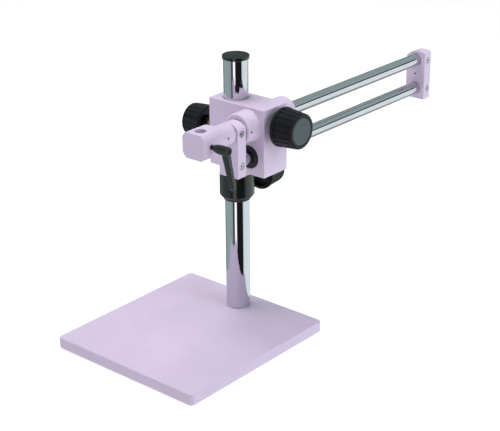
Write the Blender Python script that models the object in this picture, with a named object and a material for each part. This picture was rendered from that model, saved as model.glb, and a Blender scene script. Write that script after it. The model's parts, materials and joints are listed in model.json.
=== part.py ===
"""Double-rod boom stand for a stereo microscope.

Units are metres, +Z is up and +Y points from the work towards the boom's rear end.
The origin is the centre of the whole stand on the bench. Places along Y are given from
the column's axis, and at() moves them into the world frame.
"""

import math

import bmesh
import bpy
from mathutils import Matrix, Vector

MM = 0.001
GAP = 0.3 * MM          # running and seating gap between neighbouring pieces
ROUND = 32              # sides of a large round piece
SMALL = 16              # sides of a small round piece
TINY = 12               # sides of a screw

# Base plate and feet
BASE_WIDTH = 257.6 * MM
BASE_FRONT = 243 * MM   # column axis to the front edge
BASE_REAR = 35.5 * MM   # column axis to the rear edge
BASE_THICKNESS = 16.5 * MM
BASE_CORNER = 6.5 * MM
BASE_EDGE = 2 * MM
FOOT_PROUD = 4 * MM
FOOT_RADIUS = 12 * MM
FOOT_SEAT = 2.8 * MM
FOOT_INSET = 22 * MM
BASE_TOP = FOOT_PROUD + BASE_THICKNESS

# Column
COLUMN_RADIUS = 17.5 * MM
COLUMN_BORE = 14.5 * MM
COLUMN_TOP = 398 * MM
COLUMN_PLUG_TOP = 50 * MM
CAP_RADIUS = 19.2 * MM
CAP_TOP = 403 * MM
BOLT_RADIUS = 6 * MM
BOLT_HEAD_RADIUS = 9 * MM
COUNTERBORE_TOP = 12.5 * MM
BOLT_FACE = 4.5 * MM

# Safety collar
COLLAR_RADIUS = 25 * MM
COLLAR_BOTTOM = 190.3 * MM
COLLAR_TOP = 231.2 * MM
COLLAR_KNOB_HEIGHT = 216.2 * MM
COLLAR_KNOB_FACE = 46.5 * MM     # column axis to the knob's inner face

# Crosshead
BLOCK_LEFT = -28.6 * MM
BLOCK_RIGHT = 71.2 * MM
BLOCK_HALF_DEPTH = 25 * MM
BLOCK_BOTTOM = 244.1 * MM
BLOCK_TOP = 342.2 * MM
BLOCK_EDGE = 1 * MM
NECK_BOTTOM = 231.5 * MM
SLEEVE_RADIUS = 19.4 * MM
BOSS_RADIUS = 22.4 * MM
BOSS_FRONT = -49.3 * MM
BOSS_REAR = 54.5 * MM
BOSS_EDGE = 3 * MM
COLUMN_KNOB_HEIGHT = 291.8 * MM
COLUMN_KNOB_FACE = -50.5 * MM
BOOM_KNOB_FACE = 82.4 * MM

# Boom
ROD_X = 43.7 * MM
ROD_UPPER = 316.2 * MM
ROD_LOWER = 269.9 * MM
ROD_RADIUS = 9.5 * MM
BUSH_RADIUS = 14 * MM
BUSH_LENGTH = 30 * MM
BEARING_RADIUS = 16.3 * MM
SEAL_THICKNESS = 3.2 * MM
SEAL_PROUD = 0.8 * MM
PLATE_HALF_WIDTH = 17 * MM
PLATE_DEPTH = 17 * MM
PLATE_BOTTOM = 253 * MM
PLATE_TOP = 331 * MM
PLATE_CROWN = 24 * MM
FRONT_PLATE_BACK = -50.3 * MM
REAR_PLATE_FRONT = 381.5 * MM
CLAMP_HEAD_RADIUS = 5 * MM
CLAMP_SHANK_RADIUS = 3 * MM

# Head
HEAD_FRONT = -137 * MM
HEAD_REAR = -97.5 * MM
HEAD_BAR_RADIUS = 22.4 * MM
HEAD_HALF_WIDTH = 19.6 * MM
HEAD_HALF_HEIGHT = 18.2 * MM
HEAD_NECK_RADIUS = 15.4 * MM
HEAD_NECK_END = -68.3 * MM
HEAD_NECK_ROOT = 17.5 * MM
PIN_BORE_RADIUS = 8 * MM
PIN_BORE_Y = -122.3 * MM
ROD_END = -92 * MM
HEAD_GRUB_Y = -84 * MM

# Clamp lever, measured along +X from the upper rod's plane
HUB_START = 22.8 * MM
HUB_END = 49.5 * MM
HUB_RADIUS = 6.2 * MM
ARM_LENGTH = 60 * MM
ARM_TILT = math.radians(12)
STUD_RADIUS = 3 * MM

# Lock knobs
KNOB_LENGTH = 35.4 * MM
KNOB_FLANGE = 28.3 * MM
KNOB_NOSE = 25.2 * MM
KNOB_FACE = 21.8 * MM
DISC_RADIUS = 19.3 * MM
SMALL_KNOB_SCALE = 0.95  # the collar's and the column's knob
LOCK_STUD_RADIUS = 5 * MM
INSERT_RADIUS = 6.3 * MM

WORLD_SHIFT = (BASE_FRONT - (REAR_PLATE_FRONT + PLATE_DEPTH)) / 2

X, Y, Z = Vector((1, 0, 0)), Vector((0, 1, 0)), Vector((0, 0, 1))


def at(x, y, z):
    """World position of a point whose y is measured from the column's axis."""
    return Vector((x, y + WORLD_SHIFT, z))


def paint(name, colour, roughness, metallic=0.0):
    """A Principled material."""
    material = bpy.data.materials.new(name)
    material.use_nodes = True
    shader = material.node_tree.nodes["Principled BSDF"]
    shader.inputs["Base Color"].default_value = (*colour, 1.0)
    shader.inputs["Roughness"].default_value = roughness
    shader.inputs["Metallic"].default_value = metallic
    return material


def place(name, bm, material, origin, sharp=35):
    """Turn a bmesh in world coordinates into an object with its origin at a point."""
    bmesh.ops.recalc_face_normals(bm, faces=bm.faces)
    bmesh.ops.translate(bm, verts=bm.verts, vec=-origin)
    mesh = bpy.data.meshes.new(name)
    bm.to_mesh(mesh)
    bm.free()
    mesh.shade_smooth()
    mesh.set_sharp_from_angle(angle=math.radians(sharp))
    obj = bpy.data.objects.new(name, mesh)
    obj.location = origin
    if material:
        mesh.materials.append(material.copy())
    bpy.context.scene.collection.objects.link(obj)
    return obj


def revolve(bm, profile, axis, start, sides):
    """Add a closed profile of (radius, height), turned about an axis, to a bmesh."""
    turn = Z.rotation_difference(axis).to_matrix()
    rings = []
    for radius, height in profile:
        count = sides if radius > 0 else 1
        angles = [2 * math.pi * k / sides for k in range(count)]
        points = [Vector((radius * math.cos(a), radius * math.sin(a), height)) for a in angles]
        rings.append([bm.verts.new(start + turn @ p) for p in points])
    for one, two in zip(rings, rings[1:] + rings[:1]):
        if len(one) == 1 and len(two) == 1:
            continue
        for k in range(sides):
            quad = [one[k % len(one)], one[(k + 1) % len(one)],
                    two[(k + 1) % len(two)], two[k % len(two)]]
            bm.faces.new(list(dict.fromkeys(quad)))
    return bm


def turned(name, profile, axis, start, material, sides=ROUND, origin=None):
    """A turned piece; heights run along the axis from the start point."""
    bm = revolve(bmesh.new(), profile, axis, start, sides)
    return place(name, bm, material, start if origin is None else origin)


def bar(name, radius, length, axis, start, material, sides=ROUND, edge=0.0, origin=None):
    """A plain round bar with an optional chamfer at both ends."""
    profile = [(0, 0), (radius - edge, 0), (radius, edge),
               (radius, length - edge), (radius - edge, length), (0, length)]
    if not edge:
        profile = [(0, 0), (radius, 0), (radius, length), (0, length)]
    return turned(name, profile, axis, start, material, sides, origin)


def ring(name, inner, outer, length, axis, start, material, sides=ROUND, origin=None):
    """A plain tube."""
    profile = [(inner, 0), (outer, 0), (outer, length), (inner, length)]
    return turned(name, profile, axis, start, material, sides, origin)


def boolean(target, bm, operation):
    """Shape a piece with a bmesh of closed bodies, which may overlap each other."""
    tool = place(f"{operation.lower()}_{target.name}", bm, None, target.location.copy())
    tool.hide_render = True
    tool.display_type = "WIRE"
    modifier = target.modifiers.new(operation.title(), "BOOLEAN")
    modifier.solver = "EXACT"
    modifier.use_self = True
    modifier.operation = operation
    modifier.object = tool


def drill(holes, radius, length, axis, start, sides=ROUND):
    """Add a round hole to the bmesh of a piece's holes."""
    revolve(holes, [(0, 0), (radius, 0), (radius, length), (0, length)], axis, start, sides)


def prism(outline, axis, start, depth):
    """Bmesh of an outline of world points, extruded along an axis."""
    bm = bmesh.new()
    face = bm.faces.new([bm.verts.new(start + p) for p in outline])
    result = bmesh.ops.extrude_face_region(bm, geom=[face])
    moved = [item for item in result["geom"] if isinstance(item, bmesh.types.BMVert)]
    bmesh.ops.translate(bm, verts=moved, vec=axis * depth)
    return bm


def arc(centre, radius, first, last, steps):
    """Points of an arc in a plane, angles in degrees."""
    points = []
    for k in range(steps + 1):
        angle = math.radians(first + (last - first) * k / steps)
        points.append((centre[0] + radius * math.cos(angle), centre[1] + radius * math.sin(angle)))
    return points


def round_edges(bm, edges, width, segments=2):
    bmesh.ops.bevel(bm, geom=edges, offset=width, segments=segments, profile=0.5,
                    affect="EDGES", clamp_overlap=True)


def cap_screw(name, head_radius, head_length, shank_radius, shank_length, socket, axis, face,
              material, origin=None):
    """Socket screw whose head ends at face and whose shank points against the axis."""
    depth = head_length * 0.55
    profile = [(0, -depth), (socket, -depth), (socket, 0), (head_radius, 0),
               (head_radius, -head_length), (shank_radius, -head_length),
               (shank_radius, -head_length - shank_length), (0, -head_length - shank_length)]
    return turned(name, profile, axis, face, material, TINY, origin)


def grub_screw(name, radius, length, axis, face, material, origin=None):
    """Headless screw with a socket in its outer end."""
    socket = radius * 0.55
    depth = length * 0.4
    profile = [(0, -depth), (socket, -depth), (socket, 0), (radius, 0), (radius, -length), (0, -length)]
    return turned(name, profile, axis, face, material, TINY, origin)


def lock_knob(prefix, axis, face, reach, scale=1.0):
    """Knob, stud, brass tip and end disc of one lock; reach is where the tip presses."""
    outer = [(h * scale * MM, r * scale) for h, r in
             [(0.0, KNOB_FLANGE - 0.8 * MM), (0.8, KNOB_FLANGE), (5.0, KNOB_FLANGE - 0.3 * MM),
              (5.6, KNOB_FLANGE - 0.9 * MM), (32.4, KNOB_NOSE)]]
    length = KNOB_LENGTH * scale
    disc = DISC_RADIUS * scale
    cavity = 22 * MM * scale
    profile = [(r, h) for h, r in outer]
    profile += [(KNOB_FACE * scale, length), (disc + GAP, length), (disc + GAP, length - 1.5 * MM),
                (0, length - 1.5 * MM), (0, 20 * MM), (INSERT_RADIUS + GAP, 20 * MM),
                (INSERT_RADIUS + GAP, 1.5 * MM), (10 * MM, 1.5 * MM), (11.5 * MM, 9 * MM),
                (cavity, 9 * MM), (cavity + 1.5 * MM, 0)]
    turned(f"{prefix}_lock_knob", profile, axis, face, PLASTIC, ROUND)
    turned(f"{prefix}_knob_disc",
           [(0, length - 1.2 * MM), (disc, length - 1.2 * MM), (disc, length - 0.2 * MM), (0, length - 0.2 * MM)],
           axis, face, DISC, ROUND, face)
    tip = 4 * MM
    base = reach + tip + GAP
    turned(f"{prefix}_lock_stud",
           [(0, base), (LOCK_STUD_RADIUS - 1 * MM, base), (LOCK_STUD_RADIUS, base + 1 * MM),
            (LOCK_STUD_RADIUS, -1 * MM), (INSERT_RADIUS, -1 * MM), (INSERT_RADIUS, 19.5 * MM), (0, 19.5 * MM)],
           axis, face, BRASS, SMALL, face)
    bar(f"{prefix}_lock_tip", 3.8 * MM, tip, axis, face + axis * reach, BRASS, TINY, 0.4 * MM)


def make_base():
    """Base plate with its foot recesses, the rubber feet and their screws."""
    half = BASE_WIDTH / 2
    corners = [(half, BASE_REAR, 0), (-half, BASE_REAR, 90), (-half, -BASE_FRONT, 180),
               (half, -BASE_FRONT, 270)]
    outline = []
    for x, y, first in corners:
        centre = (x - math.copysign(BASE_CORNER, x), y - math.copysign(BASE_CORNER, y))
        outline += arc(centre, BASE_CORNER, first, first + 90, 6)
    bm = prism([Vector((x, y, 0)) for x, y in outline], Z, at(0, 0, FOOT_PROUD), BASE_THICKNESS)
    top = [e for e in bm.edges if all(v.co.z > BASE_TOP - MM for v in e.verts)]
    round_edges(bm, top, BASE_EDGE)
    plate = place("base_plate", bm, PAINT, at(0, 0, 0))
    holes = bmesh.new()
    drill(holes, BOLT_RADIUS + GAP, 40 * MM, Z, at(0, 0, -10 * MM), SMALL)
    drill(holes, 11 * MM, COUNTERBORE_TOP + 10 * MM, Z, at(0, 0, -10 * MM), SMALL)
    for end, y in (("front", FOOT_INSET - BASE_FRONT), ("rear", BASE_REAR - FOOT_INSET)):
        for side, x in (("left", FOOT_INSET - half), ("right", half - FOOT_INSET)):
            make_foot(holes, f"{end}_{side}", x, y)
    boolean(plate, holes, "DIFFERENCE")


def make_foot(holes, place_name, x, y):
    """One rubber foot and its screw; their seats join the base plate's holes."""
    seat = FOOT_PROUD + FOOT_SEAT
    drill(holes, FOOT_RADIUS + GAP, seat + 10 * MM, Z, at(x, y, -10 * MM), SMALL)
    drill(holes, 2 * MM, 24 * MM, Z, at(x, y, -10 * MM), TINY)
    thickness = seat - GAP
    turned(f"foot_{place_name}",
           [(4 * MM, 0), (FOOT_RADIUS - 0.8 * MM, 0), (FOOT_RADIUS, 0.8 * MM), (FOOT_RADIUS, thickness),
            (2 * MM, thickness), (2 * MM, 3 * MM), (4 * MM, 3 * MM)],
           Z, at(x, y, 0), RUBBER, SMALL)
    turned(f"foot_screw_{place_name}",
           [(0, 0.8 * MM), (3.6 * MM, 0.8 * MM), (3.6 * MM, 2.7 * MM), (1.7 * MM, 2.7 * MM),
            (1.7 * MM, 13 * MM), (0, 13 * MM)],
           Z, at(x, y, 0), STEEL, TINY)


def make_column():
    """Chromed tube with its foot plug, bolt, washer and cap."""
    bottom = BASE_TOP + GAP
    ring("column_tube", COLUMN_BORE, COLUMN_RADIUS, COLUMN_TOP - GAP - bottom, Z, at(0, 0, bottom), CHROME)
    plug = COLUMN_BORE - GAP
    thread = BOLT_RADIUS
    turned("column_plug",
           [(thread, bottom), (plug, bottom), (plug, COLUMN_PLUG_TOP), (0, COLUMN_PLUG_TOP), (0, 43 * MM),
            (thread, 43 * MM)],
           Z, at(0, 0, 0), STEEL)
    ring("column_washer", BOLT_RADIUS, 10.5 * MM, 2 * MM, Z, at(0, 0, COUNTERBORE_TOP - GAP - 2 * MM), STEEL)
    head_face = COUNTERBORE_TOP - 2 * GAP - 2 * MM
    turned("column_bolt",
           [(0, BOLT_FACE + 3 * MM), (4 * MM, BOLT_FACE + 3 * MM), (4 * MM, BOLT_FACE),
            (BOLT_HEAD_RADIUS, BOLT_FACE),
            (BOLT_HEAD_RADIUS, head_face), (BOLT_RADIUS - GAP, head_face),
            (BOLT_RADIUS - GAP, 41 * MM), (0, 41 * MM)],
           Z, at(0, 0, 0), STEEL, SMALL)
    spigot = COLUMN_BORE - GAP
    dome = arc((0, CAP_TOP - 60 * MM), 60 * MM, 90 - 18.0, 90, 4)
    turned("column_cap",
           [(0, 384 * MM), (spigot, 384 * MM), (spigot, COLUMN_TOP), (CAP_RADIUS - 0.4 * MM, COLUMN_TOP),
            (CAP_RADIUS, COLUMN_TOP + 0.5 * MM), (CAP_RADIUS, COLUMN_TOP + 1.4 * MM), *dome[:-1],
            (0, CAP_TOP)],
           Z, at(0, 0, 0), BLACK)


def make_collar():
    """Safety collar with the nose at its lower end, and its lock."""
    bore = COLUMN_RADIUS + GAP
    nose = [(19.6, 0), (20.6, 2.2), (21.8, 3.6), (24.0, 5.0), (25.0, 7.0)]
    profile = [(bore, COLLAR_TOP), (bore, COLLAR_BOTTOM)]
    profile += [(r * MM, COLLAR_BOTTOM + h * MM) for r, h in nose]
    profile += [(COLLAR_RADIUS, COLLAR_TOP - 0.5 * MM), (COLLAR_RADIUS - 0.5 * MM, COLLAR_TOP)]
    collar = turned("safety_collar", profile, Z, at(0, 0, 0), BLACK)
    holes = bmesh.new()
    drill(holes, LOCK_STUD_RADIUS + GAP, 30 * MM, Y, at(0, 5 * MM, COLLAR_KNOB_HEIGHT), SMALL)
    boolean(collar, holes, "DIFFERENCE")
    reach = COLUMN_RADIUS + GAP - COLLAR_KNOB_FACE
    lock_knob("collar", Y, at(0, COLLAR_KNOB_FACE, COLLAR_KNOB_HEIGHT), reach, SMALL_KNOB_SCALE)


def make_crosshead():
    """Cast crosshead with its sleeve, bushes, bearing, seals and two locks."""
    bm = bmesh.new()
    bmesh.ops.create_cube(bm, size=1.0)
    size = Vector((BLOCK_RIGHT - BLOCK_LEFT, 2 * BLOCK_HALF_DEPTH, BLOCK_TOP - BLOCK_BOTTOM))
    centre = at((BLOCK_LEFT + BLOCK_RIGHT) / 2, 0, (BLOCK_TOP + BLOCK_BOTTOM) / 2)
    bmesh.ops.transform(bm, verts=bm.verts, matrix=Matrix.Translation(centre) @ Matrix.Diagonal((*size, 1)))
    round_edges(bm, bm.edges[:], BLOCK_EDGE)
    block = place("crosshead", bm, PAINT, at(0, 0, ROD_UPPER))
    length = BOSS_REAR - BOSS_FRONT
    edge = BOSS_EDGE
    extra = revolve(bmesh.new(),
                    [(0, 0), (BOSS_RADIUS - edge, 0), (BOSS_RADIUS, edge), (BOSS_RADIUS, length - edge),
                     (BOSS_RADIUS - edge, length), (0, length)],
                    Y, at(ROD_X, BOSS_FRONT, ROD_UPPER), ROUND)
    drill(extra, COLLAR_RADIUS, 30 * MM, Z, at(0, 0, NECK_BOTTOM))
    boolean(block, extra, "UNION")
    holes = bmesh.new()
    drill(holes, SLEEVE_RADIUS + GAP, 160 * MM, Z, at(0, 0, 210 * MM))
    drill(holes, BUSH_RADIUS + GAP, 140 * MM, Y, at(ROD_X, -70 * MM, ROD_UPPER))
    drill(holes, BEARING_RADIUS + GAP, 80 * MM, Y, at(ROD_X, -40 * MM, ROD_LOWER))
    stud = LOCK_STUD_RADIUS + GAP
    drill(holes, stud, 30 * MM, X, at(-42 * MM, 0, COLUMN_KNOB_HEIGHT), SMALL)
    drill(holes, stud, 40 * MM, X, at(ROD_X, 0, ROD_UPPER), SMALL)
    grub_y = BOSS_FRONT + 4.5 * MM
    drill(holes, 1.8 * MM, 20 * MM, X, at(ROD_X + BUSH_RADIUS - 2 * MM, grub_y, ROD_UPPER), TINY)
    boolean(block, holes, "DIFFERENCE")
    grub_screw("bush_grub_screw", 1.5 * MM, 6 * MM, X, at(ROD_X + BOSS_RADIUS - 1.2 * MM, grub_y, ROD_UPPER),
               BLACK_STEEL)
    make_sleeve()
    running = ROD_RADIUS + GAP
    for name, start in (("front_bush", BOSS_FRONT + 1 * MM), ("rear_bush", BOSS_REAR - 1 * MM - BUSH_LENGTH)):
        ring(name, running, BUSH_RADIUS, BUSH_LENGTH, Y, at(ROD_X, start, ROD_UPPER), BRONZE)
    face = BLOCK_HALF_DEPTH + SEAL_PROUD
    inner = face - SEAL_THICKNESS - GAP
    ring("lower_bearing", running, BEARING_RADIUS, 2 * inner, Y, at(ROD_X, -inner, ROD_LOWER), STEEL)
    ring("front_seal", running, BEARING_RADIUS, SEAL_THICKNESS, Y, at(ROD_X, -face, ROD_LOWER), RUBBER)
    ring("rear_seal", running, BEARING_RADIUS, SEAL_THICKNESS, Y, at(ROD_X, face - SEAL_THICKNESS, ROD_LOWER),
         RUBBER)
    lock_knob("column", -X, at(COLUMN_KNOB_FACE, 0, COLUMN_KNOB_HEIGHT), SLEEVE_RADIUS + GAP + COLUMN_KNOB_FACE,
              SMALL_KNOB_SCALE)
    lock_knob("boom", X, at(BOOM_KNOB_FACE, 0, ROD_UPPER), ROD_X + running - BOOM_KNOB_FACE)


def make_sleeve():
    """Split sleeve between column and crosshead."""
    bottom = NECK_BOTTOM + 0.4 * MM
    sleeve = ring("column_sleeve", COLUMN_RADIUS + GAP, SLEEVE_RADIUS, BLOCK_TOP - bottom, Z,
                  at(0, 0, bottom), NYLON)
    bm = bmesh.new()
    bmesh.ops.create_cube(bm, size=1.0)
    slot = Matrix.Diagonal((2 * MM, 10 * MM, 200 * MM, 1))
    bmesh.ops.transform(bm, verts=bm.verts, matrix=Matrix.Translation(at(0, 18.5 * MM, 290 * MM)) @ slot)
    boolean(sleeve, bm, "DIFFERENCE")


def make_plate(name, front, screw_names):
    """End plate with a crowned top; its two screws press on the rods from the right."""
    side = math.degrees(math.asin(PLATE_HALF_WIDTH / PLATE_CROWN))
    crown = arc((0, PLATE_TOP - PLATE_CROWN), PLATE_CROWN, 90 - side, 90 + side, 8)
    outline = [(-PLATE_HALF_WIDTH, PLATE_BOTTOM), (PLATE_HALF_WIDTH, PLATE_BOTTOM), *crown]
    bm = prism([Vector((x, 0, z)) for x, z in outline], Y, at(ROD_X, front, 0), PLATE_DEPTH)
    vertical = [e for e in bm.edges if e.calc_length() > 0]
    flat = [e for e in vertical if abs(e.verts[0].co.y - e.verts[1].co.y) < MM]
    round_edges(bm, flat, 0.7 * MM, 1)
    plate = place(name, bm, PAINT, at(ROD_X, front, ROD_UPPER))
    rod_hole = ROD_RADIUS + GAP
    inward = -1 if front > 0 else 1
    back = front + (PLATE_DEPTH if inward > 0 else 0)
    holes = bmesh.new()
    drill(holes, 1.9 * MM, 12 * MM, -Y * inward,
          at(ROD_X, back + 3 * MM * inward, (ROD_UPPER + ROD_LOWER) / 2), TINY)
    for level, height in zip(("upper", "lower"), (ROD_UPPER, ROD_LOWER)):
        through = name == "front_plate" and level == "upper"
        depth = PLATE_DEPTH + 10 * MM if through else 12.8 * MM
        drill(holes, rod_hole, depth + 5 * MM, -Y * inward, at(ROD_X, back + 5 * MM * inward, height))
        middle = front + PLATE_DEPTH / 2
        face = at(ROD_X + PLATE_HALF_WIDTH, middle, height)
        drill(holes, CLAMP_HEAD_RADIUS + GAP, 8.6 * MM, X, face - X * 5.4 * MM, SMALL)
        drill(holes, CLAMP_SHANK_RADIUS + GAP, 18 * MM, X, face - X * 9 * MM, SMALL)
        grip = PLATE_HALF_WIDTH - 0.3 * MM - 4.8 * MM - ROD_RADIUS - GAP
        cap_screw(f"{screw_names}_{level}", CLAMP_HEAD_RADIUS, 4.8 * MM, CLAMP_SHANK_RADIUS, grip, 2.5 * MM,
                  X, face - X * 0.3 * MM, STEEL)
    boolean(plate, holes, "DIFFERENCE")


def make_boom():
    """Two rods and the plates that hold their ends."""
    seat = 12.5 * MM
    plate_front = FRONT_PLATE_BACK - PLATE_DEPTH
    rear_end = REAR_PLATE_FRONT + seat
    lower_start = FRONT_PLATE_BACK - seat
    bar("upper_rod", ROD_RADIUS, rear_end - ROD_END, Y, at(ROD_X, ROD_END, ROD_UPPER), CHROME,
        ROUND, 0.8 * MM)
    bar("lower_rod", ROD_RADIUS, rear_end - lower_start, Y, at(ROD_X, lower_start, ROD_LOWER), CHROME,
        ROUND, 0.8 * MM)
    make_plate("front_plate", plate_front, "front_clamp_screw")
    make_plate("rear_plate", REAR_PLATE_FRONT, "rear_clamp_screw")


def make_head():
    """Head block: a round bar with four flats, a neck and the bore for the microscope's pin."""
    side = math.degrees(math.acos(HEAD_HALF_WIDTH / HEAD_BAR_RADIUS))
    top = math.degrees(math.asin(HEAD_HALF_HEIGHT / HEAD_BAR_RADIUS))
    outline = []
    for turn, first, last in ((0, side, top), (180, -top, -side), (180, side, top), (360, -top, -side)):
        outline += arc((0, 0), HEAD_BAR_RADIUS, turn + first, turn + last, 4)
    depth = HEAD_REAR - HEAD_FRONT
    bm = prism([Vector((x, 0, z)) for x, z in outline], Y, at(ROD_X, HEAD_FRONT, ROD_UPPER), depth)
    front_y = HEAD_FRONT + WORLD_SHIFT
    front = [e for e in bm.edges if all(abs(v.co.y - front_y) < 0.1 * MM for v in e.verts)]
    round_edges(bm, front, 0.8 * MM, 2)
    axis_point = at(ROD_X, PIN_BORE_Y, ROD_UPPER)
    head = place("head_block", bm, PAINT, axis_point)
    run = HEAD_NECK_END - HEAD_REAR
    neck = revolve(bmesh.new(),
                   [(0, -5 * MM), (HEAD_NECK_ROOT, -5 * MM), (HEAD_NECK_ROOT, 0),
                    (HEAD_NECK_ROOT - 0.9 * MM, run * 0.25), (HEAD_NECK_RADIUS + 0.3 * MM, run * 0.6),
                    (HEAD_NECK_RADIUS, run - 0.6 * MM), (HEAD_NECK_RADIUS - 0.6 * MM, run), (0, run)],
                   Y, at(ROD_X, HEAD_REAR, ROD_UPPER), ROUND)
    boolean(head, neck, "UNION")
    holes = bmesh.new()
    drill(holes, PIN_BORE_RADIUS, 60 * MM, Z, at(ROD_X, PIN_BORE_Y, ROD_UPPER - 30 * MM))
    drill(holes, ROD_RADIUS + GAP, 60 * MM, Y, at(ROD_X, ROD_END - GAP, ROD_UPPER))
    drill(holes, STUD_RADIUS + 0.7 * MM, 30 * MM, X, at(ROD_X, PIN_BORE_Y, ROD_UPPER), TINY)
    drill(holes, 1.8 * MM, 20 * MM, X, at(ROD_X, HEAD_GRUB_Y, ROD_UPPER), TINY)
    boolean(head, holes, "DIFFERENCE")
    grub_screw("head_grub_screw", 1.5 * MM, 4.6 * MM, X,
               at(ROD_X + HEAD_NECK_RADIUS - 0.6 * MM, HEAD_GRUB_Y, ROD_UPPER), BLACK_STEEL,
               axis_point)
    bar("clamp_pad", 3.3 * MM, 2.6 * MM, X, at(ROD_X + PIN_BORE_RADIUS + 0.4 * MM, PIN_BORE_Y, ROD_UPPER),
        BRASS, SMALL)
    make_lever()


def make_lever():
    """Clamp lever with its splined stud, retaining screw and spring."""
    axis_point = at(ROD_X, PIN_BORE_Y, ROD_UPPER)
    spline_start, spline_end = 28.5 * MM, 36 * MM
    spline = 3.9 * MM
    inside = 4.2 * MM
    hub = turned("clamp_lever",
                 [(STUD_RADIUS + GAP, HUB_START), (4.2 * MM, HUB_START), (4.6 * MM, HUB_START + 3 * MM),
                  (5.6 * MM, HUB_START + 7 * MM), (HUB_RADIUS, HUB_START + 11 * MM),
                  (HUB_RADIUS, HUB_END - 0.5 * MM), (HUB_RADIUS - 0.5 * MM, HUB_END), (inside, HUB_END),
                  (inside, spline_start), (STUD_RADIUS + GAP, spline_start)],
                 X, axis_point, PLASTIC, SMALL)
    boolean(hub, make_arm(axis_point), "UNION")
    bore = bmesh.new()
    drill(bore, inside, 30 * MM, X, axis_point + X * spline_start, SMALL)
    boolean(hub, bore, "DIFFERENCE")
    turned("clamp_stud",
           [(0, 11.3 * MM), (STUD_RADIUS, 11.3 * MM), (STUD_RADIUS, spline_start + GAP),
            (spline, spline_start + GAP), (spline, spline_end), (2.3 * MM, spline_end),
            (2.3 * MM, spline_end - 6 * MM), (0, spline_end - 6 * MM)],
           X, axis_point, BLACK_STEEL, SMALL)
    face = 48.6 * MM
    turned("lever_screw",
           [(0, spline_end - 5 * MM), (2 * MM, spline_end - 5 * MM), (2 * MM, 44.5 * MM), (3.9 * MM, 44.5 * MM),
            (3.9 * MM, face), (1.8 * MM, face), (1.8 * MM, face - 2.2 * MM), (0, face - 2.2 * MM)],
           X, axis_point, BLACK_STEEL, SMALL)
    make_spring(axis_point, spline_end + 0.8 * MM, 43.7 * MM)


def make_arm(axis_point):
    """Tapered arm of the lever, hanging from the outer half of the hub."""
    down = Matrix.Rotation(ARM_TILT, 3, "X") @ -Z
    across = Matrix.Rotation(ARM_TILT, 3, "X") @ Y
    sections = [(2 * MM, 38.5, 48.5, 4.4), (18 * MM, 39.3, 48.9, 3.5), (ARM_LENGTH - 4 * MM, 41.3, 49.0, 3.3),
                (ARM_LENGTH, 42.6, 48.0, 2.2)]
    bm = bmesh.new()
    loops = []
    for distance, near, far, half in sections:
        centre = axis_point + down * distance
        corners = [(near, -half), (far, -half), (far, half), (near, half)]
        loops.append([bm.verts.new(centre + X * x * MM + across * w * MM) for x, w in corners])
    for one, two in zip(loops, loops[1:]):
        for k in range(4):
            bm.faces.new([one[k], one[(k + 1) % 4], two[(k + 1) % 4], two[k]])
    bm.faces.new(loops[0])
    bm.faces.new(loops[-1])
    bmesh.ops.recalc_face_normals(bm, faces=bm.faces)
    along = [e for e in bm.edges if abs((e.verts[0].co - e.verts[1].co).normalized().dot(down)) > 0.5]
    round_edges(bm, along, 1.2 * MM, 1)
    return bm


def make_spring(axis_point, first, last):
    """Coil spring round the lever's retaining screw."""
    wire, coil, turns, steps = 0.3 * MM, 3.1 * MM, 4, 9
    curve = bpy.data.curves.new("lever_spring", "CURVE")
    curve.dimensions = "3D"
    curve.bevel_depth = wire
    curve.bevel_resolution = 1
    curve.use_fill_caps = True
    spline = curve.splines.new("POLY")
    count = turns * steps + 1
    spline.points.add(count - 1)
    for k, point in enumerate(spline.points):
        angle = 2 * math.pi * k / steps
        height = first + (last - first) * k / (count - 1)
        point.co = (height, coil * math.cos(angle), coil * math.sin(angle), 1)
    curve.materials.append(STEEL.copy())
    spring = bpy.data.objects.new("lever_spring", curve)
    spring.location = axis_point
    bpy.context.scene.collection.objects.link(spring)


for old in list(bpy.data.objects):
    bpy.data.objects.remove(old)

PAINT = paint("lilac_paint", (0.62, 0.52, 0.66), 0.35)
CHROME = paint("chrome", (0.80, 0.83, 0.84), 0.06, 1.0)
BLACK = paint("black_enamel", (0.02, 0.022, 0.025), 0.38)
PLASTIC = paint("black_plastic", (0.022, 0.024, 0.028), 0.42)
DISC = paint("grey_disc", (0.10, 0.12, 0.135), 0.45)
RUBBER = paint("rubber", (0.015, 0.015, 0.018), 0.75)
STEEL = paint("steel", (0.55, 0.56, 0.57), 0.3, 1.0)
BLACK_STEEL = paint("black_steel", (0.03, 0.03, 0.032), 0.4)
BRASS = paint("brass", (0.62, 0.50, 0.24), 0.28, 1.0)
BRONZE = paint("bronze", (0.55, 0.38, 0.2), 0.4, 1.0)
NYLON = paint("nylon", (0.82, 0.80, 0.76), 0.5)

make_base()
make_column()
make_collar()
make_crosshead()
make_boom()
make_head()
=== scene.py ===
"""Boom stand for a stereo microscope: its looks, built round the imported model.

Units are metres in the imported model's frame: +Z is up, +Y points from the work towards the
boom's rear end, and +X towards the boom's side of the column. Round pieces are built along
their own +Z and then turned into place, so that their materials can follow the turning marks.
"""

import json
import math

import bmesh
import bpy
from mathutils import Matrix, Vector


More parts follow.
